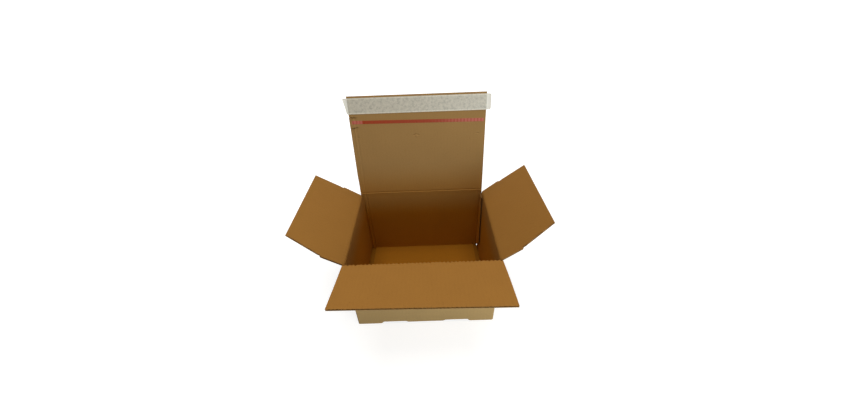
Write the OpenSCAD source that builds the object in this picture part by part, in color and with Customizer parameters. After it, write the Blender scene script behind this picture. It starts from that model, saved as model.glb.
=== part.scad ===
// Shipping box of single-wall corrugated board with a crash-lock bottom and a peel-and-seal lid flap.
// X runs left to right, Y from the front to the back, Z up. The origin is under the middle of the walls.

/* [Board] */
// Thickness of the corrugated board
board_t = 3; // [2.4:0.1:3.6]
// Distance from one flute to the next
flute_pitch = 6.4; // [5.5:0.1:8]
// Thickness of each paper of the board: two liners and the wave between them
paper_t = 0.3; // [0.2:0.05:0.4]
// Length of crushed board beside a fold, where the flutes are closed
crushed_w = 5; // [4:0.5:8]

/* [Walls] */
// Outer width of the box, left to right
body_w = 261; // [230:1:320]
// Outer depth of the box, front to back
body_d = 206; // [190:1:240]
// Height of the side walls, from the floor to their folds
side_h = 160; // [120:1:240]
// Width of the glue tab at its lower end
tab_w = 32; // [20:1:45]
// How much narrower the glue tab is at its upper end
tab_slant = 12; // [0:1:16]
// Height of the glue tab's lower corner above the floor of the box
tab_rise = 35; // [20:1:50]

/* [Flaps] */
// Length of the front flap
front_flap_l = 99; // [70:1:101]
// Length of the dust flaps on the side walls
dust_flap_l = 101.5; // [70:0.5:110]
// Length of the closure flap
closure_flap_l = 198; // [150:1:200]
// Distance along a dust flap to its shoulders
shoulder_s = 39; // [25:1:50]
// Depth of each shoulder of a dust flap
shoulder_in = 2.4; // [1:0.1:4]
// Inset of a dust flap's free edge from the front of the box
dust_front_in = 20; // [8:1:30]
// Inset of a dust flap's free edge from the back of the box
dust_back_in = 8; // [6:1:30]
// Distance from the closure flap's free edge to the nearer tear cut
tear_cut_near = 39; // [36:1:42]
// Distance from the closure flap's free edge to the further tear cut
tear_cut_far = 57; // [55:1:70]
// Length of the tear cuts
tear_cut_l = 15; // [8:1:25]
// Width of the tear cuts
tear_cut_w = 0.5; // [0.3:0.1:1]

/* [Rest angles] */
// Lean of the closure flap behind the vertical
closure_out = 8; // [0:1:40]
// Lean of the front flap in front of the vertical
front_out = 79; // [50:1:90]
// Lean of the left dust flap outside the vertical
left_out = 56; // [50:1:90]
// Lean of the right dust flap outside the vertical
right_out = 51; // [50:1:90]

/* [Strips] */
// Distance from the closure flap's free edge to the middle of the red tear strip
tear_back = 47.5; // [46:0.5:50]
// Width of the red tear strip
tear_w = 6.3; // [4:0.1:8]
// Inset of the tear strip's ends from the side edges of the closure flap
tear_in = 3.5; // [1:0.5:10]
// Thickness of the tear strip, and of the strip of glue
tape_t = 0.15; // [0.1:0.05:0.2]
// Distance from the closure flap's free edge to the release liner
liner_in = 3; // [1:0.5:8]
// Width of the release liner
liner_w = 29; // [20:1:30]
// Thickness of the release liner
liner_t = 0.15; // [0.1:0.05:0.2]
// Length of liner that overhangs each side of the closure flap
liner_over = 8; // [3:0.5:12]
// Corner radius of the release liner
liner_r = 3; // [1:0.5:6]
// Margin of the strip of glue inside the release liner
glue_in = 2.5; // [1:0.5:6]

/* [Bottom] */
// Cut across the corners of the deep halves
lock_cut = 9; // [4:1:14]
// Gap between the ends of a long bottom flap and the side walls
long_end_gap = 9.5; // [5:0.5:15]
// Reach of each long bottom flap's deep half past the middle line
deep_past = 24; // [14:1:34]
// Distance between the inner edges of the two deep halves
lobe_gap = 10; // [8:1:20]
// Reach of the short bottom flaps from the side walls
short_l = 63; // [50:1:80]
// Gap between a locking tongue and the deep half or short bottom flap beside it
tongue_gap = 2; // [1:0.5:3.5]
// Length of board in which a locking tongue steps down under the deep half
tongue_step = 7; // [6:0.5:12]
// Height of the die-cut recesses in the lower edges of the long walls
recess_h = 3; // [1:0.1:3]
// Distance from the middle of a long wall to the inner end of a recess
recess_from = 35; // [20:1:45]
// Distance from the middle of a long wall to the outer end of a recess
recess_to = 82; // [60:1:100]
// Height of the opening at the floor in the glued corner
corner_gap_h = 8; // [5:0.5:12]

/* [Clearances] */
// Half of the gap in each mitred fold
fold_gap = 0.15; // [0.1:0.05:0.3]
// Gap between flaps that lie on each other, and between a dust flap and the walls
lay_gap = 0.3; // [0.2:0.05:0.6]

/* [Hidden] */
$fn = 48;

// Each wall is folded one board higher than the flap that lies under its own flap
front_h = side_h + board_t + lay_gap;
back_h = front_h + board_t + tape_t + liner_t + lay_gap;
half_w = body_w / 2;
half_d = body_d / 2;
in_w = half_w - board_t;
in_d = half_d - board_t;
floor_top = 2 * board_t;
// The closure flap stops one board short on the right, where the back wall turns into the glue tab
closure_w = body_w - board_t;
closure_shift = -board_t / 2;
dust_half = in_d - lay_gap;
// The flutes are a wave between the two liners, drawn as tapered channels on both its sides
channel_wide = 0.73 * flute_pitch;
channel_narrow = 0.19 * flute_pitch;
channel_top = board_t - 2 * paper_t;
// Gap beside the ends of a short bottom flap
short_end_gap = 0.8;
// Share of its overhang that the liner's left end loses from its upper to its lower corner
liner_slant = 0.6;
// Depth of the groove in which a short bottom flap's corner is folded
groove_d = 0.6;
// Cut across the front corner of a short bottom flap
short_cut = 30;
// Height of the glue tab's folded edge above the floor
tab_clear = 1;
far = 1000;
eps = 0.01;

inner_brown = [0.55, 0.38, 0.18];
outer_brown = [0.62, 0.47, 0.28];

// One channel of a flute, as a section that is wide on the liner at height 0
module channel_section() {
    polygon([[-channel_wide / 2, paper_t], [channel_wide / 2, paper_t],
             [channel_narrow / 2, channel_top], [-channel_narrow / 2, channel_top]]);
}

// The open flutes of a flap of this width, from a start to past its free edge
module flutes(width, start, end) {
    count = floor((width - 2 * paper_t) / flute_pitch);
    for (i = [0 : count - 1]) {
        middle = (i - (count - 1) / 2) * flute_pitch;
        translate([middle - flute_pitch / 4, end, 0])
            rotate([90, 0, 0])
                linear_extrude(end - start) channel_section();
        translate([middle + flute_pitch / 4, end, board_t])
            rotate([90, 0, 0])
                mirror([0, 1, 0])
                    linear_extrude(end - start) channel_section();
    }
}

// The wedge that a fold takes out of a board, so that it can close to a mitre
module fold_wedge(length) {
    rotate([90, 0, 90])
        linear_extrude(length, center = true)
            polygon([[-1, -1 - fold_gap], [board_t + fold_gap + 1, board_t + 1],
                     [-1, board_t + 1]]);
}

// A flap lying flat: its fold along X at the origin, its length along Y, its outer face at height 0
module flap_board(width, length) {
    difference() {
        linear_extrude(board_t) children();
        fold_wedge(width + 2);
        flutes(width, crushed_w, length + 1);
    }
}

// Stands a flap on the fold of a wall: turn names the wall, out is the lean outside the vertical
module on_fold(turn, distance, height, out) {
    rotate([0, 0, turn])
        translate([0, distance, height])
            rotate([90 - out, 0, 0]) children();
}

module on_closure() {
    on_fold(0, half_d, back_h, closure_out)
        translate([closure_shift, 0, 0]) children();
}

module front_flap_outline() {
    translate([-half_w, 0]) square([body_w, front_flap_l]);
}

// A dust flap keeps its full width as far as the shoulders and then tapers, more on its front side
module dust_flap_outline() {
    shoulder = dust_half - shoulder_in;
    polygon([[-dust_half, 0], [dust_half, 0],
             [dust_half, shoulder_s], [shoulder, shoulder_s + shoulder_in],
             [half_d - dust_front_in, dust_flap_l], [dust_back_in - half_d, dust_flap_l],
             [-shoulder, shoulder_s + shoulder_in], [-dust_half, shoulder_s]]);
}

module closure_outline() {
    difference() {
        translate([-closure_w / 2, 0]) square([closure_w, closure_flap_l]);
        for (back = [tear_cut_near, tear_cut_far])
            translate([-closure_w / 2 - eps, closure_flap_l - back - tear_cut_w / 2])
                square([tear_cut_l, tear_cut_w]);
    }
}

module front_flap() {
    color(inner_brown)
        on_fold(180, half_d, front_h, front_out)
            flap_board(body_w, front_flap_l) front_flap_outline();
}

module right_dust_flap() {
    color(inner_brown)
        on_fold(-90, half_w, side_h, right_out)
            flap_board(body_d, dust_flap_l) dust_flap_outline();
}

module left_dust_flap() {
    color(inner_brown)
        on_fold(90, half_w, side_h, left_out)
            flap_board(body_d, dust_flap_l) mirror([1, 0]) dust_flap_outline();
}

module closure_flap() {
    color(inner_brown)
        on_closure() flap_board(closure_w, closure_flap_l) closure_outline();
}

// The three strips lie on the inner face of the closure flap
module tear_strip() {
    color([0.55, 0.16, 0.12])
        on_closure()
            translate([tear_in - closure_w / 2, closure_flap_l - tear_back - tear_w / 2, board_t])
                cube([closure_w - 2 * tear_in, tear_w, tape_t]);
}

module adhesive_strip() {
    color([0.85, 0.82, 0.7])
        on_closure()
            translate([glue_in - closure_w / 2, closure_flap_l - liner_in - liner_w + glue_in, board_t])
                cube([closure_w - 2 * glue_in, liner_w - 2 * glue_in, tape_t]);
}

// The liner's right end has round corners, and its left end was cut at a slant
module release_liner() {
    end_x = closure_w / 2 + liner_over;
    slant = liner_over * liner_slant;
    color([0.8, 0.79, 0.72])
        on_closure()
            translate([0, closure_flap_l - liner_in - liner_w, board_t + tape_t])
                linear_extrude(liner_t) {
                    polygon([[slant - end_x, 0], [end_x - liner_r, 0],
                             [end_x - liner_r, liner_w], [-end_x, liner_w]]);
                    translate([end_x - 2 * liner_r, liner_r])
                        square([2 * liner_r, liner_w - 2 * liner_r]);
                    for (y = [liner_r, liner_w - liner_r])
                        translate([end_x - liner_r, y]) circle(liner_r);
                }
}

// The section of a long wall across its thickness, from its lower fold to its mitred upper fold
module long_wall_section(height) {
    polygon([[0, floor_top], [board_t, floor_top],
             [board_t, height - board_t - fold_gap], [0, height - fold_gap]]);
}

// A front or back wall, drawn at the back, with round vertical corners at both ends
module long_wall(height, left_end, right_end) {
    intersection() {
        linear_extrude(height) {
            translate([left_end, in_d]) square([right_end - left_end, board_t]);
            for (x = [left_end, right_end])
                translate([x, in_d]) circle(board_t);
        }
        translate([0, half_d, 0])
            rotate([90, 0, -90])
                linear_extrude(far, center = true) long_wall_section(height);
    }
}

// The lower edge of a long wall: it reaches the floor at its corners, less in its middle,
// and is rounded into the long bottom flap between them
module long_wall_foot(left_end, right_end) {
    middle_h = recess_h / 2;
    flap_half = in_w - long_end_gap;
    intersection() {
        translate([-flap_half, in_d, floor_top])
            rotate([0, 90, 0]) cylinder(h = 2 * flap_half, r = board_t);
        translate([-half_w, in_d, 0]) cube([body_w, board_t, floor_top]);
    }
    for (span = [[left_end, -recess_to], [recess_to, right_end]])
        translate([span[0], in_d, 0]) cube([span[1] - span[0], board_t, floor_top]);
    translate([-recess_from, in_d, middle_h])
        cube([2 * recess_from, board_t, floor_top - middle_h]);
    for (x = [left_end, right_end])
        intersection() {
            translate([x, in_d, 0]) cylinder(h = floor_top, r = board_t);
            translate([-half_w, in_d, 0]) cube([body_w, board_t, floor_top]);
        }
}

// A side wall, drawn on the right: mitred at its upper fold, rounded into the short bottom flap below
module side_wall(back_end) {
    difference() {
        union() {
            translate([in_w, -in_d, board_t])
                cube([board_t, in_d + back_end, side_h - board_t]);
            intersection() {
                translate([in_w, back_end, board_t])
                    rotate([90, 0, 0]) cylinder(h = in_d + back_end, r = board_t);
                translate([in_w, -half_d, 0]) cube([board_t, body_d, board_t]);
            }
        }
        translate([half_w, 0, side_h])
            rotate([90, 0, 0])
                linear_extrude(far, center = true)
                    polygon([[1, 1 - fold_gap], [-board_t - 1, -board_t - 1 - fold_gap], [-board_t - 1, 1]]);
    }
}

// The glue tab, folded on from the back wall and stuck to the inside of the right wall
module glue_tab() {
    tab_top = side_h - board_t - fold_gap;
    tab_foot = floor_top + tab_clear;
    translate([in_w, in_d, 0])
        rotate([90, 0, -90])
            linear_extrude(board_t)
                polygon([[0, tab_foot], [tab_w, tab_foot + tab_rise],
                         [tab_w - tab_slant, tab_top - board_t], [0, tab_top]]);
}

// A long bottom flap, drawn from the front wall: its left half is deep and lies over the other
// flap's tongue, and its right half steps down into a tongue that ends at the middle line
module long_bottom_flap() {
    end_x = in_w - long_end_gap;
    deep_y = deep_past;
    step_end_y = -deep_y;
    short_y = step_end_y - tongue_step;
    inner_x = -lobe_gap / 2;
    tongue_x = inner_x + tongue_gap;
    tip_y = -lay_gap / 2;
    translate([0, 0, board_t])
        linear_extrude(board_t)
            polygon([[-end_x, -in_d], [-end_x, deep_y - lock_cut], [lock_cut - end_x, deep_y],
                     [inner_x - lock_cut, deep_y], [inner_x, deep_y - lock_cut],
                     [inner_x, short_y], [end_x, short_y], [end_x, -in_d]]);
    translate([tongue_x, 0, 0])
        rotate([90, 0, 90])
            linear_extrude(in_w - short_l - tongue_gap - tongue_x)
                polygon([[short_y, board_t], [step_end_y, 0], [tip_y, 0],
                         [tip_y, board_t], [step_end_y, board_t], [short_y, 2 * board_t]]);
}

// A short bottom flap, drawn from the right wall: its back corner is the triangle that is glued
// under the back wall's long flap, folded along the slanted groove
module short_bottom_flap() {
    difference() {
        linear_extrude(board_t)
            polygon([[in_w, short_end_gap - in_d], [in_w - short_l + short_cut, short_end_gap - in_d],
                     [in_w - short_l, short_cut - in_d], [in_w - short_l, in_d - short_end_gap],
                     [in_w, in_d - short_end_gap]]);
        translate([in_w, in_d, 0])
            rotate([0, 0, -45])
                rotate([0, 45, 0])
                    cube([groove_d, 3 * short_l, groove_d], center = true);
    }
}

module box_body() {
    color(outer_brown)
        difference() {
            union() {
                long_wall(back_h, -in_w, in_w - board_t);
                long_wall_foot(-in_w, in_w - board_t);
                rotate([0, 0, 180]) {
                    long_wall(front_h, -in_w, in_w);
                    long_wall_foot(-in_w, in_w);
                }
                side_wall(half_d - lay_gap);
                mirror([1, 0, 0]) side_wall(in_d);
                glue_tab();
                for (turn = [0, 180])
                    rotate([0, 0, turn]) {
                        long_bottom_flap();
                        short_bottom_flap();
                    }
            }
            translate([in_w - board_t, in_d - short_end_gap, -eps])
                cube([board_t, board_t + short_end_gap + eps, corner_gap_h]);
        }
}

box_body();
front_flap();
left_dust_flap();
right_dust_flap();
closure_flap();
adhesive_strip();
release_liner();
tear_strip();
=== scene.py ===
"""Shipping box with a folded bottom and a peel-and-seal lid flap, dressed in Blender around its CAD model.

Every board is drawn flat first, in sheet coordinates: u along a fold, v away from it, n from the outer
face (0) to the inner face. A shape function then bends it, and a fold puts it in its place on the box.
"""
import math

import bmesh
import bpy
from bpy.props import FloatProperty, FloatVectorProperty, PointerProperty
from mathutils import Matrix, Vector, noise


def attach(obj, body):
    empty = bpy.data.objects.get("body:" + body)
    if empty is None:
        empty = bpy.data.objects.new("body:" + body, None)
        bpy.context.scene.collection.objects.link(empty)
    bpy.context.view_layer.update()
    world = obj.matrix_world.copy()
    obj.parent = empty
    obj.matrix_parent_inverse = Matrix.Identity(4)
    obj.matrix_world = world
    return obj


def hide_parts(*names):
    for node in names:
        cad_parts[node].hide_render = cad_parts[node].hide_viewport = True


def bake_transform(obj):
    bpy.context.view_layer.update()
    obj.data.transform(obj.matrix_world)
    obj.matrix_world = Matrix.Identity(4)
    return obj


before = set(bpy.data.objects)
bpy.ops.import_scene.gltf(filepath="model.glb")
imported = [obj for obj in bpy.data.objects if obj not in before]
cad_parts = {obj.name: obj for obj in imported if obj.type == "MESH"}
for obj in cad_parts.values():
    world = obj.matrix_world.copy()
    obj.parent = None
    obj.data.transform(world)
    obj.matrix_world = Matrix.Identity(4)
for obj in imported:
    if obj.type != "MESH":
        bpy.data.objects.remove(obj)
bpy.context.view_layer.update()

bl_info = {
    "name": "Shipping box",
    "version": (1, 0, 0),
    "blender": (4, 5, 0),
    "location": "View3D > Sidebar > Shipping box",
    "description": "Builds a corrugated shipping box with a folded bottom and a peel-and-seal flap",
    "category": "Object",
}

MM = 0.001

# Length of the faces, in mm, where the board is creased or crushed, and the width of the crushed part
FINE, CRUSHED_W = 0.45, 18

# The folds of the CAD model, in mm and degrees: turn about Z, distance from the middle, height, lean outside
# the vertical, and the width of the board that bends on each side of the fold
BACK = {"turn": 0, "distance": 103, "height": 166.9, "lean": 8, "bend": 4.2, "reach": 3.8}
FRONT = {"turn": 180, "distance": 103, "height": 163.3, "lean": 79, "bend": 5.6, "reach": 4.2}
LEFT = {"turn": 90, "distance": 130.5, "height": 160, "lean": 56, "bend": 4.2, "reach": 3.4}
RIGHT = {"turn": -90, "distance": 130.5, "height": 160, "lean": 51, "bend": 4.2, "reach": 3.4}

# Walls: half sizes outside, bend of the corners, where the strip starts on the right wall, and the glue tab
HALF_W, HALF_D = 130.5, 103
CORNER_R, CORNER_L = 3.4, 4.0
STRIP_START = 102.7
TAB_L, TAB_TOP = 32.0, 156.85

# Flaps: reach from the fold, half width, and how far the closure flap stands off the middle
FRONT_L = 99
DUST_HALF, DUST_L = 99.1, 101.5
SHOULDER, SHOULDER_STEP = 39.0, 2.4
CLOSURE_HALF, CLOSURE_L, CLOSURE_SHIFT = 129.0, 198.0, -1.5

# Tear cuts of the closure flap: distances from its fold, length, half width in the inner liner, and start
# and end in the outer one
CUTS = (CLOSURE_L - 57, CLOSURE_L - 39)
CUT_L, CUT_IN, CUT_OUT = 15, 0.7, (0.28, 0.52)

# Marks pressed into the closure flap's inside: the half-moon in the middle and a tick near each edge
MOON = (-4.3, 121.8)
TICKS = ((-116, 120), (115, 122))

# Strips on the closure flap: half length, distances from its fold and thickness
TAPE_HALF, TAPE_V, TAPE_T = 125.5, (147.35, 153.65), 0.15
LINER_HALF, LINER_V, LINER_T = 137.0, (166.0, 195.0), 0.25
LINER_CORNER = 3

# Camera, from the photograph's perspective: place in metres, turn in degrees and lens
CAMERA_PLACE = (0.013152, -0.453294, 0.546542)
CAMERA_TURN = (53.0061, 1.7635, -0.9858)
CAMERA_LENS = 13.2506

# Lamps: name, setting of the power, size, colour, place and target
LAMPS = (
    # A warm one overhead
    ("top_lamp", "top_power", (1.1, 1.1), (1.0, 0.95, 0.88), (0, 0, 1.5), (0, 0, 0.15)),
    # A cooler one low at the right, as from a window
    ("window_lamp", "window_power", (0.4, 0.25), (0.88, 0.97, 1.0), (0.5, -0.62, 0.15), (0.05, 0.1, 0.18)),
    # Weak ones in front and behind
    ("front_lamp", "fill_power", (0.5, 0.25), (0.88, 0.97, 1.0), (0.3, -0.8, 0.26), (0.05, 0.1, 0.22)),
    ("back_lamp", "fill_power", (0.8, 0.3), (1.0, 0.98, 0.95), (0, 1.3, 0.3), (0, 0.1, 0.2)))


def colour_setting(name, description, default):
    """A colour that a user can change"""
    return FloatVectorProperty(
        name=name, description=description, default=default, size=3, min=0.0, max=1.0, subtype="COLOR")


class ShippingBoxSettings(bpy.types.PropertyGroup):
    """Sizes and colours of the box's board, strips and light"""

    board: FloatProperty(
        name="Board thickness", description="Thickness of the corrugated board",
        default=0.003, min=0.002, max=0.004, unit="LENGTH")
    paper: FloatProperty(
        name="Paper thickness", description="Thickness of each liner and of the wave between them",
        default=0.0003, min=0.0002, max=0.0005, unit="LENGTH")
    pitch: FloatProperty(
        name="Flute pitch", description="Distance from one flute to the next",
        default=0.0064, min=0.005, max=0.009, unit="LENGTH")
    washboard: FloatProperty(
        name="Washboard depth", description="How far the liners sink in between the flutes",
        default=0.00003, min=0.0, max=0.0003, unit="LENGTH")
    inner_colour: colour_setting(
        "Inner liner", "Colour of the board's inside face", (0.320, 0.150, 0.031))
    # Painted shade: a deeper, redder tone for the inside face low in the box, where it is shaded and lit by light
    # bounced between the walls
    painted_deep_shade_colour: colour_setting(
        "Inner liner inside the box", "Colour of the inside face low in the box", (0.365, 0.138, 0.007))
    # Painted light: a paler, greyer tone for the closure flap's inside away from its fold, where the cool light from
    # the front falls on it
    painted_lid_light_colour: colour_setting(
        "Inner liner of the lid", "Colour of the closure flap's inside face away from its fold", (0.330, 0.190, 0.066))
    outer_colour: colour_setting(
        "Outer liner", "Colour of the board's outside face", (0.430, 0.280, 0.118))
    wave_colour: colour_setting(
        "Wave and cut edges", "Colour of the fluted paper and of the cut edges", (0.340, 0.175, 0.055))
    liner_colour: colour_setting(
        "Release liner", "Colour of the release liner over the glue", (0.535, 0.495, 0.40))
    liner_end_colour: colour_setting(
        "Release liner ends", "Colour of the release liner past the glue", (0.79, 0.76, 0.675))
    tape_colour: colour_setting(
        "Tear strip", "Colour of the red tear strip", (0.300, 0.040, 0.009))
    # Paler tone of the tear strip: at its left end, and in dashes along the flutes towards its right end, where it is
    # a painted highlight
    tape_pale_and_highlight_colour: colour_setting(
        "Tear strip, pale and painted highlights", "Colour of the tear strip at its left end and in its painted highlights", (0.460, 0.120, 0.080))
    top_power: FloatProperty(
        name="Top lamp power", description="Power of the soft lamp overhead", default=16.5, min=0.0, unit="POWER")
    window_power: FloatProperty(
        name="Window power", description="Power of the low soft lamp at the right", default=1.9, min=0.0, unit="POWER")
    fill_power: FloatProperty(
        name="Fill power", description="Power of each weak lamp in front and behind",
        default=2.1, min=0.0, unit="POWER")
    sky_level: FloatProperty(
        name="Sky level", description="Level of the even light from all round", default=0.2, min=0.0)


def settings():
    """The box's settings in this scene"""
    return bpy.context.scene.shipping_box


# Numbers and curves

def steps(start, end, length):
    """Values from start to end, evenly spaced at about this length"""
    count = max(1, round((end - start) / length))
    return [start + (end - start) * i / count for i in range(count + 1)]


def merged(*lists):
    """One rising list of the values of several, without near doubles"""
    values = []
    for value in sorted(v for part in lists for v in part):
        if not values or value - values[-1] > 0.02:
            values.append(value)
    return values


def smooth(value, start=0.0, end=1.0):
    """0 up to the start, 1 from the end on, and a soft rise in between"""
    t = min(1.0, max(0.0, (value - start) / (end - start)))
    return t * t * (3 - 2 * t)


def bump(value, middle, width):
    """A round hill: 1 in its middle, near 0 at twice its width"""
    return math.exp(-((value - middle) / width) ** 2)


def flute(u, pitch):
    """The wave of the flutes: 1 on a crest that meets the inner liner, -1 on one that meets the outer"""
    return math.sin(2 * math.pi * u / pitch)


# Flat sheets

def inside(u0, u1, v0, v1):
    """A test for what lies in a rectangle of the flat sheet"""
    return lambda p: u0 < p.x < u1 and v0 < p.y < v1


def paper(columns, rows, low, high, holes=(), trims=(), creases=()):
    """The bmesh of a flat closed sheet between two levels, with holes left out and edges trimmed along lines.
    A trim is a test, a point and a direction: of what passes the test, all beyond the point goes. A crease is
    the same, but only cuts the faces there, so that they can bend."""
    bm = bmesh.new()
    across, along = len(columns) - 1, len(rows) - 1
    bmesh.ops.create_grid(bm, x_segments=across, y_segments=along, size=1)
    for vert in bm.verts:
        i = round((vert.co.x + 1) / 2 * across)
        j = round((vert.co.y + 1) / 2 * along)
        vert.co = (columns[i], rows[j], low)
    gone = [f for f in bm.faces if any(hole(f.calc_center_median()) for hole in holes)]
    bmesh.ops.delete(bm, geom=gone, context="FACES")
    cuts = [(*trim, True) for trim in trims] + [(*crease, False) for crease in creases]
    for test, point, direction, clear in cuts:
        faces = [f for f in bm.faces if test(f.calc_center_median())]
        edges = list(dict.fromkeys(e for f in faces for e in f.edges))
        verts = list(dict.fromkeys(v for f in faces for v in f.verts))
        bmesh.ops.bisect_plane(
            bm, geom=verts + edges + faces, dist=1e-5, plane_co=(*point, 0), plane_no=(*direction, 0),
            clear_outer=clear, clear_inner=False)
    loose = [v for v in bm.verts if not v.link_faces]
    bmesh.ops.delete(bm, geom=loose, context="VERTS")
    made = bmesh.ops.extrude_face_region(bm, geom=bm.faces[:])
    lifted = [v for v in made["geom"] if isinstance(v, bmesh.types.BMVert)]
    bmesh.ops.translate(bm, verts=lifted, vec=(0, 0, high - low))
    bmesh.ops.recalc_face_normals(bm, faces=bm.faces[:])
    mark_sides(bm, low, high)
    return bm


def mark_sides(bm, low, high):
    """Gives each face of a flat sheet its side, 0 outer, 1 inner or 2 cut edge, and its sheet coordinates as UV"""
    uv = bm.loops.layers.uv.new("sheet")
    margin = (high - low) / 4
    for face in bm.faces:
        level = face.calc_center_median().z
        flat = abs(face.normal.z) > 0.5
        face.material_index = (1 if level > high - margin else 0) if flat else 2
        runs_along_v = abs(face.normal.x) > abs(face.normal.y)
        for loop in face.loops:
            u, v, n = loop.vert.co
            if flat:
                loop[uv].uv = (u * MM, v * MM)
            else:
                loop[uv].uv = ((v if runs_along_v else u) * MM, n * MM)


def fluted_board(columns, rows, holes=(), trims=(), creases=(), wave_rows=None, outer_holes=None):
    """The papers of a corrugated board: outer liner, inner liner and wave, as three flat sheets. The wave, and
    the liners' faces that look into the flutes, take the darker material 2."""
    s = settings()
    board, thick, pitch = s.board / MM, s.paper / MM, s.pitch / MM
    outer = paper(columns, rows, 0, thick, holes if outer_holes is None else outer_holes, trims, creases)
    inner = paper(columns, rows, board - thick, board, holes, trims, creases)
    for bm, own in ((outer, 0), (inner, 1)):
        for face in bm.faces:
            face.material_index = 2 if face.material_index == 1 - own else own
    start, end = columns[0], columns[-1]
    fine = steps(start, end, pitch / 8)
    wave = paper(fine, wave_rows or rows, 0, thick, holes, trims, creases)
    depth = (board - 3 * thick) / 2
    for vert in wave.verts:
        vert.co.z += board / 2 - thick / 2 + depth * flute(vert.co.x, pitch)
    for face in wave.faces:
        face.material_index = 2
    return [outer, inner, wave]


def washboard(u, n, board, pitch, depth):
    """The level n with each liner sunk in where no flute holds it"""
    side = 1 if n > board / 2 else -1
    lack = 0.5 - 0.5 * side * flute(u, pitch)
    return n - side * depth * lack


def object_from(name, parts, shape, place, materials):
    """Joins flat sheets into one object: shape moves each point of the sheet, and place puts it on the box"""
    whole = bmesh.new()
    whole.loops.layers.uv.new("sheet")
    for part in parts:
        for vert in part.verts:
            u, v, n = shape(*vert.co)
            vert.co = place(u, v, n) * MM
        mesh = bpy.data.meshes.new("part")
        part.to_mesh(mesh)
        part.free()
        whole.from_mesh(mesh)
        bpy.data.meshes.remove(mesh)
    for face in whole.faces:
        face.smooth = True
        face.material_index = min(face.material_index, len(materials) - 1)
    mesh = bpy.data.meshes.new(name)
    whole.to_mesh(mesh)
    whole.free()
    mesh.set_sharp_from_angle(angle=math.radians(50))
    piece = bpy.data.objects.new(name, mesh)
    bpy.context.scene.collection.objects.link(piece)
    for material in materials:
        mesh.materials.append(material)
    return piece


def fold_place(fold, shift=0.0):
    """Puts sheet coordinates on a fold of the box: v runs up the flap, and n from its outer face inwards"""
    matrix = (
        Matrix.Rotation(math.radians(fold["turn"]), 4, "Z")
        @ Matrix.Translation((0, fold["distance"], fold["height"]))
        @ Matrix.Rotation(math.radians(90 - fold["lean"]), 4, "X")
        @ Matrix.Translation((shift, 0, 0)))
    return lambda u, v, n: matrix @ Vector((u, v, n))


def floor_place(turn, distance, level):
    """Puts a bottom flap level on the floor: v is 0 at its wall and falls towards the middle of the box"""
    matrix = Matrix.Rotation(math.radians(turn), 4, "Z") @ Matrix.Translation((0, distance, level))
    return lambda u, v, n: matrix @ Vector((u, v, n))


# Creases between the walls and the flaps

def fold_pivot(fold):
    """The turn of a fold's wall about Z, and the middle of its axis in mm"""
    turn_z = Matrix.Rotation(math.radians(fold["turn"]), 4, "Z")
    return turn_z, turn_z @ Vector((0, fold["distance"], fold["height"]))


def crease_share(v, n, fold):
    lean = math.radians(fold["lean"])
    reach = fold["reach"]
    low, high = 0.0, 1.0
    for _ in range(30):
        share = (low + high) / 2
        turn = share * lean
        # Across the fold, inwards (a) and upwards (b), of the point turned outwards
        a = n * math.cos(turn) - v * math.sin(turn)
        b = n * math.sin(turn) + v * math.cos(turn)
        along = -a * math.sin(lean / 2) + b * math.cos(lean / 2)
        if smooth(along, -reach, reach) > share:
            low = share
        else:
            high = share
    return (low + high) / 2


def crease_place(fold, shift=0.0):
    """Puts the sheet across a fold: v below 0 is on the wall, above 0 on the flap, and it bends in between"""
    stand = fold_place(dict(fold, lean=0), shift)
    turn_z, pivot = fold_pivot(fold)
    axis = turn_z @ Vector((-1, 0, 0))
    lean = math.radians(fold["lean"])

    def place(u, v, n):
        share = crease_share(v, n, fold)
        point = stand(u, v, n) - pivot
        return pivot + Matrix.Rotation(share * lean, 3, axis) @ point

    return place


def make_crease(name, fold, width, shift, materials, double=False, scallop=0.8):
    """The creased board across one fold, bent and crushed so that the flutes show as scallops. A double crease
    has two soft grooves instead, and the crushed flute runs over its left end."""
    s = settings()
    board, pitch = s.board / MM, s.pitch / MM
    columns = steps(-width / 2, width / 2, pitch / 10)
    if double:
        columns = merged(columns, steps(-width / 2, -width / 2 + CRUSHED_W, 0.4))
    rows = steps(-fold["bend"], fold["bend"], FINE)
    strip = paper(columns, rows, 0, board)

    def shape(u, v, n):
        depth = n / board
        wave = (0.5 + 0.5 * math.cos(2 * math.pi * u / pitch)) ** 1.5
        uneven = 0.7 + 0.6 * noise.noise(Vector((u * 0.21, 0.5, fold["turn"])))
        if double:
            crush = 1.3 * bump(v, 1.1, 0.8) - 0.45 * bump(v, -1.0, 0.8) + 0.3 * bump(v, -3.0, 0.7)
            crush += crushed_flute(u, 0.9 - 0.4 * smooth(v, -4, 4))
        else:
            crush = 0.4 * bump(v, 0, 1.7) + scallop * wave * uneven * bump(v, 0, 2.4) - 0.1 * bump(v, -3.2, 0.8)
        return u, v, n - depth * crush + (1 - depth) * 0.15 * bump(v, 0, 1.2)

    piece = object_from(name, [strip], shape, crease_place(fold, shift), materials)
    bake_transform(piece)
    return piece


# Materials

def add(tree, kind, at, **values):
    """Adds a node and sets its properties"""
    node = tree.nodes.new(kind)
    node.location = at
    for key, value in values.items():
        setattr(node, key, value)
    return node


def new_group(name, inputs, outputs):
    """A shader node group with named sockets, and its two end nodes"""
    tree = bpy.data.node_groups.new(name, "ShaderNodeTree")
    for label, kind, default in inputs:
        socket = tree.interface.new_socket(name=label, in_out="INPUT", socket_type=kind)
        if default is not None:
            socket.default_value = default
    for label, kind in outputs:
        tree.interface.new_socket(name=label, in_out="OUTPUT", socket_type=kind)
    return tree, add(tree, "NodeGroupInput", (-900, 0)), add(tree, "NodeGroupOutput", (900, 0))


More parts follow.
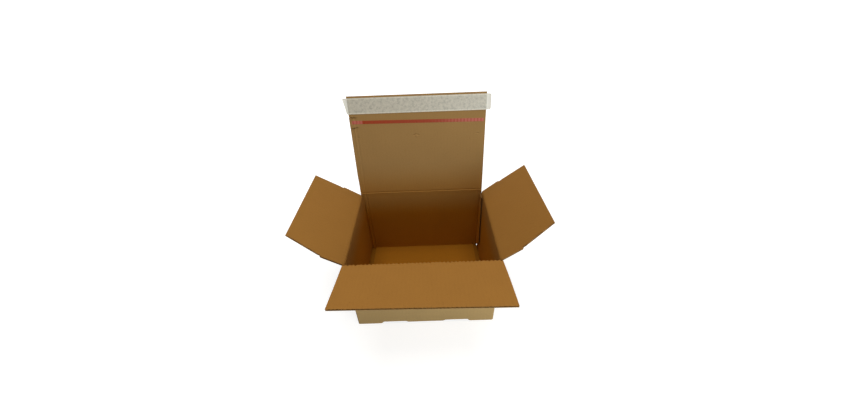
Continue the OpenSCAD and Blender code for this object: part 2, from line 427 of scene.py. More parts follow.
def new_material(name):
    """A material with its node tree and shader"""
    material = bpy.data.materials.new(name)
    material.use_nodes = True
    return material, material.node_tree, material.node_tree.nodes["Principled BSDF"]


def set_inputs(node, **values):
    """Sets a node's inputs by their names, with _ for a space"""
    for key, value in values.items():
        node.inputs[key.replace("_", " ")].default_value = value


def noise_node(tree, at, vector, scale, detail=2.0, roughness=0.5):
    """A noise texture on this vector"""
    node = add(tree, "ShaderNodeTexNoise", at)
    set_inputs(node, Scale=scale, Detail=detail, Roughness=roughness)
    tree.links.new(vector, node.inputs["Vector"])
    return node


def map_range(tree, at, value, low, high, to_low=0.0, to_high=1.0, kind="LINEAR"):
    """The value, mapped from one range to another and clamped"""
    node = add(tree, "ShaderNodeMapRange", at, interpolation_type=kind)
    set_inputs(node, From_Min=low, From_Max=high, To_Min=to_low, To_Max=to_high)
    tree.links.new(value, node.inputs["Value"])
    return node.outputs["Result"]


def group_node(tree, at, group, vector, **values):
    """A shader group with its own values"""
    node = add(tree, "ShaderNodeGroup", at, node_tree=group)
    set_inputs(node, **values)
    tree.links.new(vector, node.inputs["Vector"])
    return node


def sheet_uv(tree, at):
    """The sheet coordinates, in metres, and the same split into X and Y"""
    uv = add(tree, "ShaderNodeUVMap", at, uv_map="sheet").outputs["UV"]
    split = add(tree, "ShaderNodeSeparateXYZ", (at[0] + 200, at[1] + 200))
    tree.links.new(uv, split.inputs[0])
    return uv, split.outputs["X"], split.outputs["Y"]


def math_node(tree, operation, at, a, b=None, clamp=False):
    """The result of a Math node on sockets or numbers"""
    node = add(tree, "ShaderNodeMath", at, operation=operation, use_clamp=clamp)
    for socket, value in zip(node.inputs, (a, b)):
        if isinstance(value, (int, float)):
            socket.default_value = value
        elif value is not None:
            tree.links.new(value, socket)
    return node.outputs[0]


def ramp(tree, at, factor, stops):
    """Grey levels at places along a factor"""
    node = add(tree, "ShaderNodeValToRGB", at)
    while len(node.color_ramp.elements) < len(stops):
        node.color_ramp.elements.new(0.5)
    for element, (place, level) in zip(node.color_ramp.elements, stops):
        element.position = place
        element.color = (level, level, level, 1)
    tree.links.new(factor, node.inputs["Fac"])
    return node.outputs["Color"]


def fibre_group():
    """Paper made of recycled fibres: clouds, fine mottle, stray dark and pale fibres, as tone and height"""
    name = "paper fibres"
    if name in bpy.data.node_groups:
        return bpy.data.node_groups[name]
    tree, start, end = new_group(
        name,
        [("Vector", "NodeSocketVector", None), ("Cloud", "NodeSocketFloat", 0.1),
         ("Mottle", "NodeSocketFloat", 0.1), ("Flecks", "NodeSocketFloat", 0.2)],
        [("Tone", "NodeSocketFloat"), ("Height", "NodeSocketFloat")])
    link = tree.links.new
    vector = start.outputs["Vector"]
    cloud = noise_node(tree, (-700, 300), vector, 22, 3)
    mottle = noise_node(tree, (-700, 100), vector, 520, 3, 0.7)
    stretch = add(tree, "ShaderNodeMapping", (-900, -150))
    set_inputs(stretch, Scale=(1.0, 0.22, 1.0))
    link(vector, stretch.inputs["Vector"])
    fibres = noise_node(tree, (-700, -150), stretch.outputs["Vector"], 900)
    set_inputs(fibres, Distortion=1.5)
    dark = ramp(tree, (-450, -150), fibres.outputs["Fac"], [(0.30, 1), (0.38, 0)])
    pale = ramp(tree, (-450, -400), fibres.outputs["Fac"], [(0.66, 0), (0.76, 1)])
    shares = []
    for texture, label, y in ((cloud, "Cloud", 300), (mottle, "Mottle", 100)):
        centred = math_node(tree, "SUBTRACT", (-450, y), texture.outputs["Fac"], 0.5)
        shares.append(math_node(tree, "MULTIPLY", (-250, y), centred, start.outputs[label]))
    stray = math_node(tree, "SUBTRACT", (-250, -200), pale, dark)
    stray = math_node(tree, "MULTIPLY", (-50, -200), stray, start.outputs["Flecks"])
    tone = math_node(tree, "ADD", (50, 200), *shares)
    tone = math_node(tree, "ADD", (250, 100), tone, stray)
    tone = math_node(tree, "ADD", (450, 100), tone, 1.0)
    link(tone, end.inputs["Tone"])
    height = math_node(tree, "ADD", (250, -100), mottle.outputs["Fac"], fibres.outputs["Fac"])
    link(height, end.inputs["Height"])
    return tree


def flute_group():
    """The flutes that show through a liner: fine lines along the sheet, as tone and height"""
    name = "flute lines"
    if name in bpy.data.node_groups:
        return bpy.data.node_groups[name]
    tree, start, end = new_group(
        name,
        [("Vector", "NodeSocketVector", None), ("Pitch", "NodeSocketFloat", 0.0064),
         ("Strength", "NodeSocketFloat", 0.05)],
        [("Tone", "NodeSocketFloat"), ("Height", "NodeSocketFloat")])
    link = tree.links.new
    split = add(tree, "ShaderNodeSeparateXYZ", (-700, 0))
    link(start.outputs["Vector"], split.inputs[0])
    turns = math_node(tree, "DIVIDE", (-500, 0), split.outputs["X"], start.outputs["Pitch"])
    angle = math_node(tree, "MULTIPLY", (-350, 0), turns, 2 * math.pi)
    wave = math_node(tree, "SINE", (-200, 0), angle)
    uneven = noise_node(tree, (-500, -250), start.outputs["Vector"], 34)
    share = math_node(tree, "MULTIPLY", (0, 0), wave, uneven.outputs["Fac"])
    tone = math_node(tree, "MULTIPLY", (200, 0), share, start.outputs["Strength"])
    tone = math_node(tree, "ADD", (400, 0), tone, 1.0)
    link(tone, end.inputs["Tone"])
    link(wave, end.inputs["Height"])
    return tree


def tinted(tree, at, colour, tone):
    """A colour times a tone that changes over the surface"""
    node = add(tree, "ShaderNodeVectorMath", at, operation="SCALE")
    node.inputs[0].default_value = colour[:3]
    tree.links.new(tone, node.inputs["Scale"])
    return node.outputs[0]


def board_material(name, colour, cloud, mottle, flecks, lines, roughness, far_colour=None, start=0.0, end=1.0):
    """Kraft liner: a base colour with clouds, fibres and faint flute lines, dull, with a fine tooth.
    With a far colour, the paper changes to it between two distances along its flutes."""
    material, tree, shader = new_material(name)
    link = tree.links.new
    uv, _, along = sheet_uv(tree, (-1100, 200))
    fibre = group_node(tree, (-800, 150), fibre_group(), uv, Cloud=cloud, Mottle=mottle, Flecks=flecks)
    wave = group_node(tree, (-800, -150), flute_group(), uv, Pitch=settings().pitch, Strength=lines)
    tone = math_node(tree, "MULTIPLY", (-550, 50), fibre.outputs["Tone"], wave.outputs["Tone"])
    paint = tinted(tree, (-350, 100), colour, tone)
    if far_colour:
        mix = add(tree, "ShaderNodeMix", (-150, 200), data_type="RGBA")
        link(map_range(tree, (-700, 400), along, start, end, kind="SMOOTHSTEP"), mix.inputs["Factor"])
        link(paint, mix.inputs["A"])
        link(tinted(tree, (-350, 250), far_colour, tone), mix.inputs["B"])
        paint = mix.outputs["Result"]
    link(paint, shader.inputs["Base Color"])
    rough = math_node(tree, "MULTIPLY", (-350, -100), fibre.outputs["Height"], 0.12)
    link(math_node(tree, "ADD", (-200, -100), rough, roughness - 0.12), shader.inputs["Roughness"])
    tooth = add(tree, "ShaderNodeBump", (-200, -300))
    set_inputs(tooth, Strength=0.35, Distance=0.0001)
    link(fibre.outputs["Height"], tooth.inputs["Height"])
    link(tooth.outputs["Normal"], shader.inputs["Normal"])
    set_inputs(shader, Specular_IOR_Level=0.1)
    return material


def board_materials(where, solid=False):
    """Outer liner, inner liner and cut edge, in the order in which faces are marked. The inner liner's tone carries
    painted light and shade: painted shade on the dust flaps and low inside the box, painted light on the closure
    flap away from its fold. Solid board has a darker edge, painted shade in place of its missing flutes."""
    s = settings()
    deep, flap = Vector(s.painted_deep_shade_colour), Vector(s.inner_colour)
    # Colours and, with two of them, the distances along the flutes between which they change
    inner = {
        "flap": (flap,),
        # Painted shade: the dust flaps' inside is darkened
        "dust flap": (flap * 0.85,),
        # Painted light: the closure flap's inside turns paler and greyer away from its fold
        "lid": (flap, Vector(s.painted_lid_light_colour), -0.01, 0.07),
        # Painted shade: the walls' inside is deeper low in the box and turns to the flap tone near the top
        "wall": (deep, flap, 0.10, 0.155),
        # Painted shade: the floor of the box is darker, and the short bottom flaps under the long ones darkest
        "bottom": (deep * 0.78,),
        "lower bottom": (deep * 0.6,)}[where]
    # Painted shade: the cut edge of solid board is darkened in place of the shade in the flutes it lacks
    edge = Vector(s.wave_colour) * (0.45 if solid else 1.0)
    made = []
    # Clouds, mottle, flecks, flute lines and roughness
    for name, colour, values in (
            ("outer liner", Vector(s.outer_colour), (0.10, 0.14, 0.12, 0.015, 0.78)),
            (f"inner liner, {where}", inner[0], (0.10, 0.20, 0.14, 0.015, 0.80, *inner[1:])),
            ("cut edge, solid" if solid else "cut edge", edge, (0.30, 0.35, 0.25, 0.0, 0.90))):
        made.append(bpy.data.materials.get(name) or board_material(name, colour, *values))
    return made


# Pieces

def crushed_flute(u, strength):
    """Depth of the lines along the left end of the closure flap and its wall, where flutes were crushed"""
    along = u + HALF_W + CLOSURE_SHIFT
    return -0.62 * strength * (bump(along, 7.8, 1.4) - 0.6 * bump(along, 10.9, 1.7) + 0.3 * bump(along, 14.5, 1.9))


def closure_bow(u, v):
    """How far the closure flap bows inwards"""
    across = math.cos(math.pi * max(-1, min(1, u / CLOSURE_HALF)) / 2)
    return 0.4 * across * math.sin(math.pi * min(1, v / CLOSURE_L))


def cut_tab_lift(u, v):
    """How far the little tab between the tear cuts stands up"""
    return 1.1 * smooth(CUT_L - CLOSURE_HALF - u, 0, CUT_L) * (0.4 + 0.6 * bump(v, CUTS[1], 9))


def make_flap(name, node, body, fold, columns, rows, materials, warp, shift=0.0, **cuts):
    """A fluted flap on its fold. Its liners sink in between the flutes, and a warp then moves each point."""
    s = settings()
    board, pitch = s.board / MM, s.pitch / MM
    parts = fluted_board(columns, rows, **cuts)

    def shape(u, v, n):
        return warp(u, v, washboard(u, n, board, pitch, s.washboard / MM))

    piece = object_from(name, parts, shape, fold_place(fold, shift), materials)
    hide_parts(node)
    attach(piece, body)
    return piece


class BOX_OT_walls(bpy.types.Operator):
    """Builds the walls and the glue tab, folded from one strip of board"""

    bl_idname = "shipping_box.walls"
    bl_label = "Walls"

    def execute(self, context):
        s = context.scene.shipping_box
        board, pitch = s.board / MM, s.pitch / MM
        # Lengths of the straight panels between the corners, from the free edge of the right wall round
        # to the free edge of the glue tab
        r = CORNER_R
        right_l = STRIP_START + HALF_D - r
        front_l = 2 * (HALF_W - r)
        left_l = 2 * (HALF_D - r)
        back_l = 2 * HALF_W - board - 2 * r
        tab_l = TAB_L - (r - board)
        marks = [0.0]
        for length in (right_l, CORNER_L, front_l, CORNER_L, left_l, CORNER_L, back_l, CORNER_L, tab_l):
            marks.append(marks[-1] + length)
        # Each wall's panel, fold and bow outwards
        walls = ((0, RIGHT, 0.5), (2, FRONT, 0.9), (4, LEFT, 0.5), (6, BACK, 0.7))
        half_front = marks[2] + front_l / 2
        half_back = marks[6] + back_l / 2 + board / 2

        def foot(u):
            """Height of the wall's lower edge above the floor: die-cut recesses between its corners and middle"""
            for middle, start, end in ((half_front, 2, 3), (half_back, 6, 7)):
                if marks[start] <= u <= marks[end]:
                    away = abs(u - middle)
                    return 2.8 * (1 - smooth(away, 78, 86)) - 1.9 * (1 - smooth(away, 33, 42))
            return 0

        def wall_top(fold):
            return fold["height"] - fold["bend"]

        def ceiling(u):
            """Height of the sheet's upper edge"""
            for i, fold, _ in walls:
                if marks[i] <= u <= marks[i + 1]:
                    return wall_top(fold)
            if u >= marks[8]:
                return TAB_TOP
            return wall_top(BACK if u > marks[5] else FRONT)

        # A small opening is left in the corner over the floor, where the glue tab starts
        gap_h, gap_right, gap_start, gap_end = 8, 3.5, marks[7] + 2.0, marks[8] + 2.5
        columns = [steps(marks[i], marks[i + 1], CORNER_L / 6 if i % 2 else pitch / 4) for i in range(9)]
        columns.append(steps(marks[6], marks[6] + 16, FINE))
        columns.append([gap_right, gap_start, gap_end])
        columns += [[mark + d for d in (-2.5, -1, 1, 2.5)] for mark in marks[1:9]]
        columns = merged(*columns)
        rows = merged([0, 1.5, 3, 4, 5, 6, gap_h], steps(10, 150, 7), [TAB_TOP], [wall_top(w[1]) for w in walls])
        holes = [lambda p: p.y > ceiling(p.x), inside(gap_start, gap_end, -1, gap_h),
                 inside(-1, gap_right, -1, gap_h)]
        tab = lambda p: p.x > marks[8]
        slants = (((marks[8], 7), (1, -1)), ((marks[8] + tab_l, 42), (106, 12)), ((marks[8], TAB_TOP), (3, 20)))
        trims = [(tab, point, tuple(Vector(way).normalized())) for point, way in slants]
        strip = paper(columns, rows, 0, board, holes=holes, trims=trims)
        # The cut edges that run along the flutes are hollow between the liners
        hollow = [f for f in strip.faces if f.material_index == 2 and f.calc_center_median().y > 10
                  and (f.calc_center_median().x < 0.1 or f.calc_center_median().x > marks[8] + 15)]
        bmesh.ops.inset_region(strip, faces=hollow, thickness=0.35, depth=-2.2, use_boundary=True,
                               use_even_offset=True)

        def shape(u, v, n):
            depth = n / board
            n = washboard(u, n, board, pitch, s.washboard / MM)
            for i, _, bow in walls:
                if marks[i] <= u <= marks[i + 1]:
                    across = math.sin(math.pi * (u - marks[i]) / (marks[i + 1] - marks[i]))
                    up = math.sin(math.pi * min(1, max(0, (v - 8) / (150 - 8))))
                    n -= bow * across * up
            # The inner face stands a little proud beside each corner
            for i in (1, 3, 5, 7):
                middle = (marks[i] + marks[i + 1]) / 2
                n += depth * 0.45 * (bump(u, middle - 4.6, 1.1) + bump(u, middle + 4.6, 1.1))
            # Flutes were crushed along the back wall's left end
            n -= depth * crushed_flute(u - marks[6] + r - HALF_W - CLOSURE_SHIFT, 1.3)
            # A wall that folds under is round along its lower edge
            if v < 6:
                lift = foot(u)
                v = lift + (6 - lift) * v / 6
                n += (1 - depth) * min(1, lift / 3) * (3 - math.sqrt(max(0, 9 - (6 - v) ** 2)))
            return u, v, n

        def place(u, v, n):
            """Winds the strip round the box"""
            spot = Vector((HALF_W, STRIP_START))
            direction = Vector((0, -1))
            for i in range(9):
                start, end = marks[i], marks[i + 1]
                inwards = Vector((direction.y, -direction.x))
                if i % 2 == 0:
                    if u <= end or i == 8:
                        flat = spot + direction * (u - start) + inwards * n
                        return Vector((flat.x, flat.y, v))
                    spot = spot + direction * (end - start)
                else:
                    centre = spot + inwards * r
                    if u <= end:
                        angle = (u - start) / (end - start) * math.pi / 2
                        arm = (spot - centre).normalized() * (r - n)
                        arm.rotate(Matrix.Rotation(-angle, 2))
                        flat = centre + arm
                        return Vector((flat.x, flat.y, v))
                    arm = spot - centre
                    arm.rotate(Matrix.Rotation(-math.pi / 2, 2))
                    spot = centre + arm
                    direction.rotate(Matrix.Rotation(-math.pi / 2, 2))

        # The walls' inside takes the deeper painted shade low in the box, and the solid board's cut edges are darkened
        # as painted shade
        piece = object_from("wall_sheet", [strip], shape, place, board_materials("wall", True))
        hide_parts("box_body")
        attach(piece, "box")
        return {"FINISHED"}


class BOX_OT_bottom(bpy.types.Operator):
    """Builds the four bottom flaps: two long ones that lock into each other, and two short ones under them"""

    bl_idname = "shipping_box.bottom"
    bl_label = "Bottom flaps"

    def execute(self, context):
        s = context.scene.shipping_box
        board, pitch = s.board / MM, s.pitch / MM
        depth = s.washboard / MM
        everywhere = lambda p: True
        # Long flaps: the deep half is at u above 5, the tongue below 3
        columns = merged(steps(-118, 118, pitch / 4), [-62.5, 3, 5])
        rows = merged([-124, -115, -99.85], steps(-77, -67, 1), steps(-60, 0, 10))
        holes = [inside(-119, 5, -125, -99.85), inside(-119, -62.5, -125, -69), inside(3, 5, -125, -69)]
        diagonal = math.sqrt(0.5)
        trims = [
            (inside(5, 60, -125, -80), (5, -115), (-diagonal, -diagonal)),
            (inside(60, 119, -125, -80), (118, -115), (diagonal, -diagonal))]

        def long_shape(u, v, n):
            n = washboard(u, n, board, pitch, depth)
            if u < 4:
                n -= board * smooth(-v, 69, 76)
            return u, v, n

        for name, turn in (("bottom_flap_front", 180), ("bottom_flap_back", 0)):
            parts = fluted_board(columns, rows, holes=holes, trims=trims)
            # The inner liner of the box's floor is darkened, as painted shade
            piece = object_from(name, parts, long_shape, floor_place(turn, 100, 3), board_materials("bottom"))
            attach(piece, "box")
        # Short flaps: one corner is cut away, and a slanting groove runs across the other
        columns = steps(-99.2, 99.2, pitch / 4)
        rows = steps(-63, 0, 9)
        trims = [(everywhere, (99.2, -33), (diagonal, -diagonal))]
        creases = [(everywhere, (-100 + d, 0), (diagonal, diagonal)) for d in (-2, 0, 2)]

        def short_shape(u, v, n):
            n = washboard(u, n, board, pitch, depth)
            away = (u + 100 + v) * diagonal
            if n < board / 2:
                n += 0.6 * bump(away, 0, 0.9)
            return u, v, n

        for name, turn in (("bottom_flap_right", -90), ("bottom_flap_left", 90)):
            parts = fluted_board(columns, rows, trims=trims, creases=creases)
            # Their inner liner takes the darkest painted shade
            piece = object_from(name, parts, short_shape, floor_place(turn, 127.5, 0),
                                board_materials("lower bottom"))
            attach(piece, "box")
        return {"FINISHED"}


class BOX_OT_front_flap(bpy.types.Operator):
    """Builds the front flap and its crease"""

    bl_idname = "shipping_box.front_flap"
    bl_label = "Front flap"

    def execute(self, context):
        s = context.scene.shipping_box
        pitch = s.pitch / MM
        columns = steps(-HALF_W, HALF_W, pitch / 4)
        rows = steps(FRONT["bend"], FRONT_L, 6)

        def twist(u, v, n):
            """The free edge droops at one corner and lifts at the other"""
            away = (max(0, v - 40) / (FRONT_L - 40)) ** 1.4
            return u, v, n + away * (2.5 * u / HALF_W - 0.9)

        make_flap("front_flap_board", "front_flap", "front", FRONT, columns, rows, board_materials("flap"), twist)
        make_crease("front_crease", FRONT, 2 * HALF_W, 0, board_materials("flap", True), scallop=2.1)
        return {"FINISHED"}


class BOX_OT_dust_flaps(bpy.types.Operator):
    """Builds the two tapered dust flaps of the side walls and their creases"""

    bl_idname = "shipping_box.dust_flaps"
    bl_label = "Dust flaps"

    def execute(self, context):
        s = context.scene.shipping_box
        pitch = s.pitch / MM
        half, shoulder, step, length = DUST_HALF, SHOULDER, SHOULDER_STEP, DUST_L
        # Half widths at the free edge, towards the box's front and its back
        front_end, back_end = 83.0, 95.0

        def sag(u, v, n):
            return u, v, n + 0.5 * smooth(v, 6, length) * math.cos(math.pi * u / (2 * half))

        for side, fold, mirror in (("left", LEFT, -1), ("right", RIGHT, 1)):
            columns = steps(-half, half, pitch / 4)
            rows = merged(steps(fold["bend"], shoulder, 5), [shoulder, shoulder + step],
                          steps(shoulder + step, length, 6))
            trims = []
            for end, sign in ((front_end, mirror), (back_end, -mirror)):
                past = lambda p, sign=sign: shoulder < p.y < shoulder + step and p.x * sign > 0
                trims.append((past, (sign * half, shoulder), (sign * math.sqrt(0.5), math.sqrt(0.5))))
                tapered = lambda p, sign=sign: p.y > shoulder + step and p.x * sign > 0
                run = Vector((end - (half - step), length - shoulder - step)).normalized()
                trims.append((tapered, (sign * (half - step), shoulder + step), (sign * run.y, -run.x)))

            # The inner liner of the dust flaps and their creases is darkened, as painted shade
            make_flap(f"{side}_dust_board", f"{side}_dust_flap", f"{side}_dust", fold, columns, rows,
                      board_materials("dust flap"), sag, trims=trims)
            make_crease(f"{side}_crease", fold, 2 * half, 0, board_materials("dust flap", True))
        return {"FINISHED"}


class BOX_OT_closure_flap(bpy.types.Operator):
    """Builds the long closure flap, with its tear cuts and its crease"""

    bl_idname = "shipping_box.closure_flap"
    bl_label = "Closure flap"

    def execute(self, context):
        s = context.scene.shipping_box
        board, pitch = s.board / MM, s.pitch / MM
        half, length = CLOSURE_HALF, CLOSURE_L
        moon_u, moon_v = MOON
        cut_end = CUT_L - half
        columns = merged(steps(-half, half, pitch / 4), steps(-half, -half + CRUSHED_W, FINE),
                         steps(moon_u - 6, moon_u + 6, 0.5), steps(112, 118, 0.6))
        rows = merged(steps(BACK["bend"], length, 7), [c + d for c in CUTS for d in (-CUT_IN, *CUT_OUT, CUT_IN)],
                      steps(CUTS[0] - 7, CUTS[1] + 7, 2), steps(moon_v - 4, moon_v + 4, 0.5))
        wave_rows = merged(steps(BACK["bend"], length, 14), [c + d for c in CUTS for d in (-CUT_IN, CUT_IN)],
                           steps(CUTS[0] - 7, CUTS[1] + 7, 4))
        # The outer liner's cuts lie a little off the inner ones, so no light comes through
        holes = [inside(-half - 1, cut_end, c - CUT_IN, c + CUT_IN) for c in CUTS]
        outer_holes = [inside(-half - 1, cut_end, c + CUT_OUT[0], c + CUT_OUT[1]) for c in CUTS]

        def marks(u, v, n):
            if CUTS[0] < v < CUTS[1]:
                n += cut_tab_lift(u, v)
            # The cuts spread towards the edge
            spread = min(1, max(0, (cut_end - u) / CUT_L))
            v += 0.9 * spread * bump(v, CUTS[1], 4) - 3.0 * spread * bump(v, CUTS[0], 4)
            # The half-moon and the ticks are pressed into the inner face
            if n > board / 2:
                away = math.hypot(u - moon_u, (v - moon_v) * 1.9)
                n -= 1.3 * bump(away, 4.4, 1.2) * smooth(v, moon_v - 0.8, moon_v + 0.3)
                n += 0.6 * bump(away, 0, 2.8) - crushed_flute(u, 0.5)
                for tick_u, tick_v in TICKS:
                    n -= 0.7 * bump(u, tick_u, 2.2) * bump(v, tick_v, 0.9)
            # The left edge bulges a little
            u -= 0.8 * smooth(v, 14, 45) * smooth(-u, 100, half)
            return u, v, n + closure_bow(u, v)

        # The inside of the closure flap turns paler and greyer away from its fold, as painted light
        make_flap("closure_board", "closure_flap", "closure", BACK, columns, rows, board_materials("lid"), marks,
                  shift=CLOSURE_SHIFT, holes=holes, outer_holes=outer_holes, wave_rows=wave_rows)
        make_crease("closure_crease", BACK, 2 * half, CLOSURE_SHIFT, board_materials("flap", True),
                    double=True)
        return {"FINISHED"}


class BOX_OT_strips(bpy.types.Operator):
    """Builds the red tear strip and the release liner over the glue"""

    bl_idname = "shipping_box.strips"
    bl_label = "Tear strip and release liner"

    def execute(self, context):
        s = context.scene.shipping_box
        board, pitch = s.board / MM, s.pitch / MM
        place = fold_place(BACK, CLOSURE_SHIFT)
        # Tear strip
        columns = steps(-TAPE_HALF, TAPE_HALF, pitch / 8)
        film = paper(columns, steps(*TAPE_V, 1.05), board, board + TAPE_T)

        def film_shape(u, v, n):
            """It is stuck on a little aslant, and follows the board"""
            v -= 1.5 + 1.5 * u / TAPE_HALF
            n += closure_bow(u, v) + cut_tab_lift(u, v) - crushed_flute(u, 0.6)
            return u, v, n + 0.08 * flute(u, pitch)

        piece = object_from("tear_film", [film], film_shape, place, [tape_material()])
        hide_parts("tear_strip")
        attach(piece, "closure")
        # Release liner
        columns, rows = steps(-LINER_HALF, LINER_HALF, 2), steps(*LINER_V, 2.9)
        # Its left end is cut aslant, and the corners of its right end are round
        trims = [(lambda p: p.x < -100, (-LINER_HALF, LINER_V[1]), tuple(Vector((-29, -4.8)).normalized()))]
        for v, sign in zip(LINER_V, (-1, 1)):
            corner = Vector((LINER_HALF - LINER_CORNER, v - LINER_CORNER * sign))
            for degrees in (22.5, 45, 67.5):
                way = Vector((math.cos(math.radians(degrees)), sign * math.sin(math.radians(degrees))))
                trims.append((lambda p: p.x > 120, tuple(corner + way * LINER_CORNER), tuple(way)))
        sheet = paper(columns, rows, board + TAPE_T, board + TAPE_T + LINER_T, trims=trims)

        def liner_shape(u, v, n):
            over = max(0.0, abs(u) - CLOSURE_HALF) / (LINER_HALF - CLOSURE_HALF)
            ripple = 0.22 * noise.noise(Vector((u * 0.06, v * 0.09, 3.1)))
            curl = 1.3 * over ** 2 * (1 if u > 0 else 1.4)
            return u, v, n + closure_bow(u, v) + 0.12 + max(-0.08, ripple) + curl - crushed_flute(u, 0.4)

        piece = object_from("liner_strip", [sheet], liner_shape, place, [liner_material()])
        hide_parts("release_liner")
        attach(piece, "closure")
        # The glue is hidden by its liner, apart from its edges
        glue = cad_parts["adhesive_strip"]
        glue.data.materials.clear()
        glue.data.materials.append(glue_material())
        return {"FINISHED"}


def tape_material():
    """Thin red film, paler at its left end and, as painted highlights, in pale dashes along the flutes towards its
    right end
    """
    s = settings()
    material, tree, shader = new_material("red film")
    link = tree.links.new
    uv, across, _ = sheet_uv(tree, (-1300, 0))
    place = map_range(tree, (-900, 0), across, -TAPE_HALF * MM, TAPE_HALF * MM)
    # The strip turns pale all along its left end, and in dashes at the flute pitch that grow towards its right end:
    # these dashes are painted highlights
    ends = ramp(tree, (-650, 0), place,
                [(0.0, 1.3), (0.07, 1.2), (0.085, 0.0), (0.6, 0.05), (0.68, 0.2), (0.82, 0.6), (1.0, 1.0)])
    wave = group_node(tree, (-650, -250), flute_group(), uv, Pitch=s.pitch, Strength=1.0)
    pale_and_highlight_mask = math_node(tree, "MULTIPLY", (-400, -50), ends, wave.outputs["Tone"], clamp=True)
    mix = add(tree, "ShaderNodeMix", (-200, 0), data_type="RGBA")
    set_inputs(mix, A=(*s.tape_colour, 1), B=(*s.tape_pale_and_highlight_colour, 1))
    link(pale_and_highlight_mask, mix.inputs["Factor"])
    link(mix.outputs["Result"], shader.inputs["Base Color"])
    set_inputs(shader, Roughness=0.5, Specular_IOR_Level=0.2)
    return material


def liner_material():
    """Siliconised paper: grey and mottled where the glue shows through, cream at its ends"""
    s = settings()
    material, tree, shader = new_material("release paper")
    link = tree.links.new
    uv, across, along = sheet_uv(tree, (-1300, 0))
    away = math_node(tree, "ABSOLUTE", (-950, 200), across)
    edge = map_range(tree, (-750, 200), away, (CLOSURE_HALF - 0.5) * MM, (CLOSURE_HALF + 0.5) * MM)
    blots = noise_node(tree, (-950, -50), uv, 190, 6, 0.75)
    spots = ramp(tree, (-700, -50), blots.outputs["Fac"], [(0.33, 0.6), (0.5, 0.92), (0.7, 1.1)])
    # Its long edges, past the glue, are paler
    off_middle = math_node(tree, "SUBTRACT", (-950, -300), along, sum(LINER_V) / 2 * MM)
    off_middle = math_node(tree, "ABSOLUTE", (-800, -300), off_middle)
    margin = map_range(tree, (-650, -300), off_middle, 0.0117, 0.0125, to_high=0.22)
    spots = math_node(tree, "ADD", (-600, -100), spots, margin)
    mix = add(tree, "ShaderNodeMix", (-300, 100), data_type="RGBA")
    link(edge, mix.inputs["Factor"])
    link(tinted(tree, (-500, 50), s.liner_colour, spots), mix.inputs["A"])
    set_inputs(mix, B=(*s.liner_end_colour, 1))
    link(mix.outputs["Result"], shader.inputs["Base Color"])
    set_inputs(shader, Roughness=0.42)
    return material


def glue_material():
    """Hot-melt glue: pale, waxy, with slow ripples"""
    material, tree, shader = new_material("hot-melt glue")
    where = add(tree, "ShaderNodeTexCoord", (-900, 0))
    ripples = noise_node(tree, (-700, 0), where.outputs["Object"], 180)
    tone = ramp(tree, (-500, 0), ripples.outputs["Fac"], [(0.3, 0.9), (0.7, 1.05)])
    colour = tinted(tree, (-250, 0), (0.62, 0.56, 0.38), tone)
    tree.links.new(colour, shader.inputs["Base Color"])
    set_inputs(shader, Roughness=0.35)
    return material


def seen_directly(tree, at):
    """1 for a ray from the camera, or one that a glossy or clear surface sends on, else 0"""
    path = add(tree, "ShaderNodeLightPath", (at[0] - 200, at[1]))
    seen = math_node(tree, "MAXIMUM", at, path.outputs["Is Camera Ray"], path.outputs["Is Glossy Ray"])
    return math_node(tree, "MAXIMUM", (at[0] + 150, at[1]), seen, path.outputs["Is Transmission Ray"])


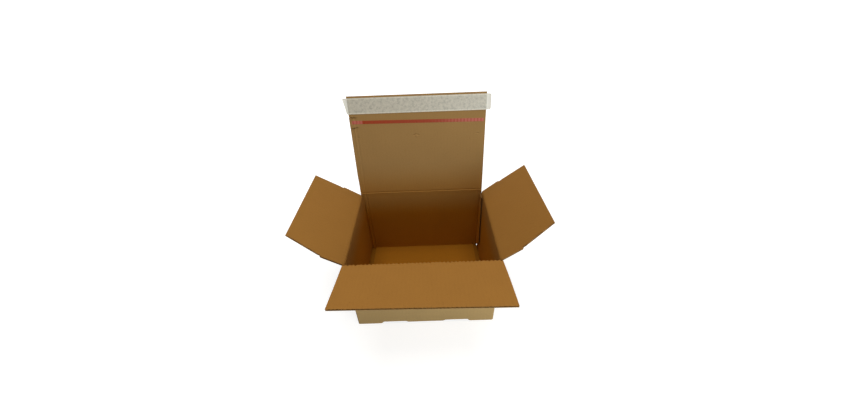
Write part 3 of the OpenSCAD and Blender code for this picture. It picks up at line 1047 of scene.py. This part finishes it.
class BOX_OT_stage(bpy.types.Operator):
    """Builds the pale floor, the soft light and the camera"""

    bl_idname = "shipping_box.stage"
    bl_label = "Stage"

    def execute(self, context):
        s = context.scene.shipping_box
        scene = context.scene
        scene.view_settings.view_transform = "Standard"
        # Floor
        bm = bmesh.new()
        bmesh.ops.create_grid(bm, x_segments=2, y_segments=2, size=20)
        mesh = bpy.data.meshes.new("floor")
        bm.to_mesh(mesh)
        bm.free()
        floor = bpy.data.objects.new("floor", mesh)
        scene.collection.objects.link(floor)
        material, tree, shader = new_material("white floor")
        set_inputs(shader, Base_Color=(0.5, 0.5, 0.5, 1), Roughness=0.9, Emission_Color=(1, 1, 1, 1))
        # Away from the box the floor turns pure white, and right under it, through the slots, it is dark
        where = add(tree, "ShaderNodeTexCoord", (-900, -450))
        far_off = add(tree, "ShaderNodeVectorMath", (-700, -450), operation="LENGTH")
        tree.links.new(where.outputs["Object"], far_off.inputs[0])
        far_off = far_off.outputs["Value"]
        glow = map_range(tree, (-500, -450), far_off, 0.25, 1.1, 0.76, 1.0, kind="SMOOTHSTEP")
        beyond = math_node(tree, "GREATER_THAN", (-500, -700), far_off, 0.09)
        glow = math_node(tree, "MULTIPLY", (-300, -450), glow, beyond)
        glow = math_node(tree, "MULTIPLY", (-100, -200), seen_directly(tree, (-400, -200)), glow)
        tree.links.new(glow, shader.inputs["Emission Strength"])
        mesh.materials.append(material)
        # World: white where it is seen, an even soft light elsewhere
        world = bpy.data.worlds.new("studio")
        scene.world = world
        world.use_nodes = True
        tree = world.node_tree
        back = tree.nodes["Background"]
        set_inputs(back, Color=(1, 1, 1, 1))
        level = map_range(tree, (-100, 0), seen_directly(tree, (-400, 0)), 0.0, 1.0, s.sky_level, 1.0)
        tree.links.new(level, back.inputs["Strength"])
        for name, power, size, colour, spot, target in LAMPS:
            data = bpy.data.lights.new(name, "AREA")
            data.shape = "RECTANGLE"
            data.size, data.size_y = size
            data.energy = getattr(s, power)
            data.color = colour
            lamp = bpy.data.objects.new(name, data)
            lamp.location = spot
            aim = Vector(target) - lamp.location
            lamp.rotation_euler = aim.to_track_quat("-Z", "Y").to_euler()
            scene.collection.objects.link(lamp)
        data = bpy.data.cameras.new("camera")
        data.sensor_fit = "HORIZONTAL"
        data.sensor_width = 36
        data.lens = CAMERA_LENS
        data.clip_start = 0.01
        camera = bpy.data.objects.new("camera", data)
        camera.location = CAMERA_PLACE
        camera.rotation_euler = [math.radians(angle) for angle in CAMERA_TURN]
        scene.collection.objects.link(camera)
        scene.camera = camera
        return {"FINISHED"}


class BOX_PT_panel(bpy.types.Panel):
    """Shows the settings and a button for each step"""

    bl_idname = "BOX_PT_panel"
    bl_label = "Shipping box"
    bl_space_type = "VIEW_3D"
    bl_region_type = "UI"
    bl_category = "Shipping box"

    def draw(self, context):
        for name in ShippingBoxSettings.__annotations__:
            self.layout.prop(context.scene.shipping_box, name)
        for operator in OPERATORS:
            self.layout.operator(operator.bl_idname)


OPERATORS = (BOX_OT_walls, BOX_OT_bottom, BOX_OT_front_flap, BOX_OT_dust_flaps, BOX_OT_closure_flap,
             BOX_OT_strips, BOX_OT_stage)
CLASSES = (ShippingBoxSettings, *OPERATORS, BOX_PT_panel)


def register():
    for cls in CLASSES:
        bpy.utils.register_class(cls)
    bpy.types.Scene.shipping_box = PointerProperty(type=ShippingBoxSettings)


def unregister():
    del bpy.types.Scene.shipping_box
    for cls in reversed(CLASSES):
        bpy.utils.unregister_class(cls)


def main():
    register()
    for step in ("stage", "walls", "bottom", "front_flap", "dust_flaps", "closure_flap", "strips"):
        getattr(bpy.ops.shipping_box, step)()


if __name__ == "__main__":
    main()
